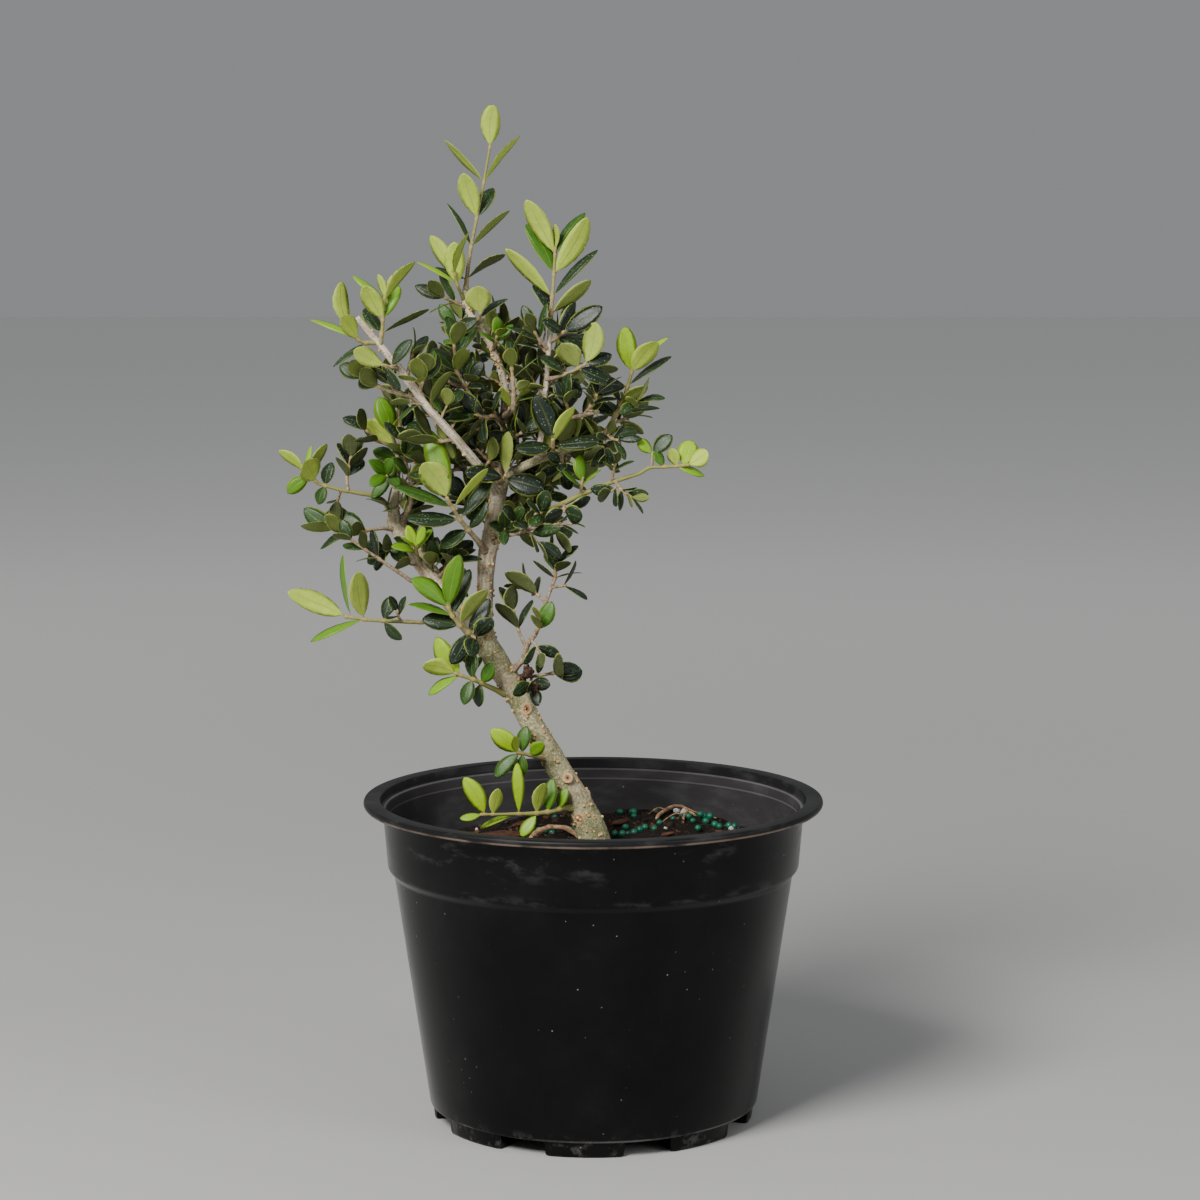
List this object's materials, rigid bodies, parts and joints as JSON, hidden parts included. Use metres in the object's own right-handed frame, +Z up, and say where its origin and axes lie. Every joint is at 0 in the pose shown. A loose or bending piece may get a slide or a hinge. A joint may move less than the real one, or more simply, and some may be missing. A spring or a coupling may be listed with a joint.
{
  "type": "potted olive bonsai",
  "caption": "Small olive tree trained as a bonsai, with a leaning trunk and a dense leafy crown, in a round black footed nursery pot filled with soil.",
  "frame": {"origin": "middle of the underside of the whole part's bounding box, on the plane that the pot's feet stand on", "axes": "+Z up; +X to the right and -Y towards the viewer of the picture; the pot's axis is the vertical line at x = 0.01609 m, y = 0"},
  "size_m": [0.238, 0.2018, 0.4454],
  "materials": {
    "pot": "black moulded plastic with a soft sheen, scuffed and dusty",
    "soil": "dark brown damp potting mix",
    "root": "dry tan root",
    "bark": "olive-tan bark with orange-tan wart marks",
    "young_leaves": "pale yellow-green new leaves, satin",
    "leaves": "mid-green leaves, soft gloss",
    "old_leaves": "dark leathery leaves with pale specks, soft gloss"
  },
  "bodies": {
    "root": {"pot": "pot", "soil": "soil", "surface_root": "root", "wood": "bark", "spray_back_high": "leaves", "spray_back_left": "old_leaves", "spray_back_left_low": "old_leaves", "spray_back_mid": "old_leaves", "spray_back_right": "old_leaves", "spray_back_right_high": "leaves", "spray_back_right_low": "old_leaves", "spray_base_twig": "young_leaves", "spray_bough_rosette": "old_leaves", "spray_bough_side": "old_leaves", "spray_bough_under": "old_leaves", "spray_bright": "leaves", "spray_bud_stem": "leaves", "spray_centre": "old_leaves", "spray_cut_twig": "old_leaves", "spray_dark_pair": "old_leaves", "spray_dead_twig": "old_leaves", "spray_far_left": "young_leaves", "spray_front": "leaves", "spray_front_stub": "leaves", "spray_gold": "old_leaves", "spray_inner_front": "old_leaves", "spray_inner_stick": "leaves", "spray_knee": "old_leaves", "spray_leader": "leaves", "spray_leader_side": "young_leaves", "spray_left_bough_top": "leaves", "spray_left_fork": "leaves", "spray_left_out": "young_leaves", "spray_left_under": "leaves", "spray_left_up": "young_leaves", "spray_long_left": "leaves", "spray_low_back": "old_leaves", "spray_low_back_left": "leaves", "spray_low_centre": "old_leaves", "spray_low_left": "young_leaves", "spray_low_mid": "old_leaves", "spray_low_right": "young_leaves", "spray_low_twig": "young_leaves", "spray_mid_front": "old_leaves", "spray_mid_left": "leaves", "spray_neck_left": "old_leaves", "spray_neck_right": "leaves", "spray_right_top": "leaves", "spray_round": "leaves", "spray_spur": "leaves", "spray_stick_left": "old_leaves", "spray_stick_low": "old_leaves", "spray_stick_right": "old_leaves", "spray_stick_top": "old_leaves", "spray_thin_left": "old_leaves", "spray_thin_right": "old_leaves", "spray_trunk_rosette": "old_leaves", "spray_upright": "leaves", "spray_young_left": "young_leaves"}
  },
  "joints": []
}
